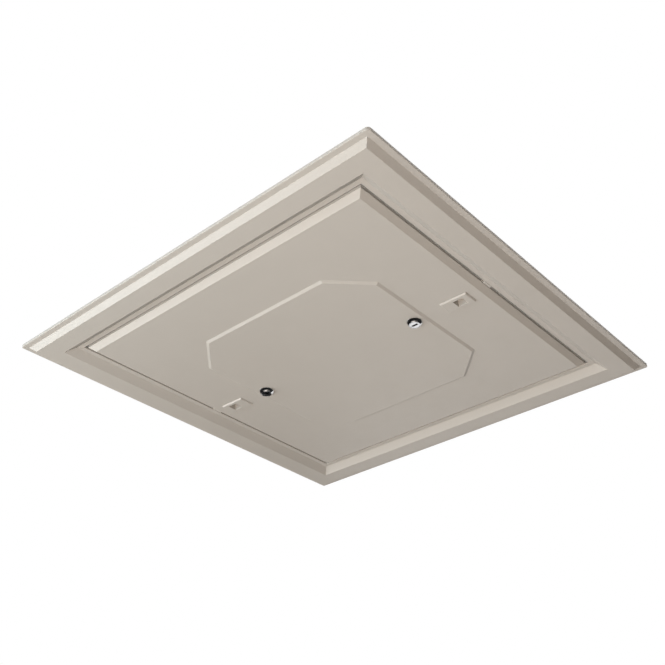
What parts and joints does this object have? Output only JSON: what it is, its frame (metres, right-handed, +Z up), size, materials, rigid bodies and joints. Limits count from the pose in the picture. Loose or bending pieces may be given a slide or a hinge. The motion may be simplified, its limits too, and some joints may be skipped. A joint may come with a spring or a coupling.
{
  "type": "ceiling access panel",
  "caption": "Square moulded ceiling access panel: a bevelled frame with an upstand, a lift-out insulated door with a raised octagon, slide catches and key locks.",
  "frame": {"origin": "middle of the panel, on the ceiling plane where the frame's lip lies", "axes": "+Z up into the loft, +X and +Y along the panel's sides; the catches and locks lie along Y"},
  "size_m": [0.65, 0.65, 0.0697],
  "materials": {
    "frame_plastic": "satin",
    "door_plastic": "satin",
    "catch_plastic": "satin",
    "seal_rubber": "matte",
    "insulation_foam": "matte",
    "zinc_steel": "satin",
    "lock_chrome": "polished",
    "fastener_steel": "satin"
  },
  "bodies": {
    "frame": {"frame_moulding": "frame_plastic", "draught_seal": "seal_rubber", "lock_keepers": "zinc_steel", "keeper_rivets": "fastener_steel"},
    "door": {"door_panel": "door_plastic", "insulation_block": "insulation_foam", "catch_straps": "zinc_steel", "strap_screws": "fastener_steel", "lock_a_body": "lock_chrome", "lock_a_washer": "zinc_steel", "lock_a_nut": "zinc_steel", "lock_b_body": "lock_chrome", "lock_b_washer": "zinc_steel", "lock_b_nut": "zinc_steel"},
    "catch_a": {"catch_a_slide": "catch_plastic", "catch_a_bolt": "catch_plastic", "catch_a_screw": "fastener_steel"},
    "catch_b": {"catch_b_slide": "catch_plastic", "catch_b_bolt": "catch_plastic", "catch_b_screw": "fastener_steel"},
    "lock_a": {"lock_a_plug": "lock_chrome", "lock_a_arm": "zinc_steel", "lock_a_arm_washer": "fastener_steel", "lock_a_arm_screw": "fastener_steel"},
    "lock_b": {"lock_b_plug": "lock_chrome", "lock_b_arm": "zinc_steel", "lock_b_arm_washer": "fastener_steel", "lock_b_arm_screw": "fastener_steel"}
  },
  "joints": [
    {"name": "door_lift", "type": "slide", "parent": "frame", "child": "door", "axis": [0, 0, 1], "range_m": [0, 0.15]},
    {"name": "catch_a_pull", "type": "slide", "parent": "door", "child": "catch_a", "axis": [0, 1, 0], "range_m": [0, 0.0075]},
    {"name": "catch_b_pull", "type": "slide", "parent": "door", "child": "catch_b", "axis": [0, -1, 0], "range_m": [0, 0.0075]},
    {"name": "lock_a_turn", "type": "hinge", "parent": "door", "child": "lock_a", "pos_m": [-0.008, -0.143, 0], "axis": [0, 0, -1], "range_deg": [0, 90]},
    {"name": "lock_b_turn", "type": "hinge", "parent": "door", "child": "lock_b", "pos_m": [-0.008, 0.143, 0], "axis": [0, 0, -1], "range_deg": [0, 90]}
  ]
}
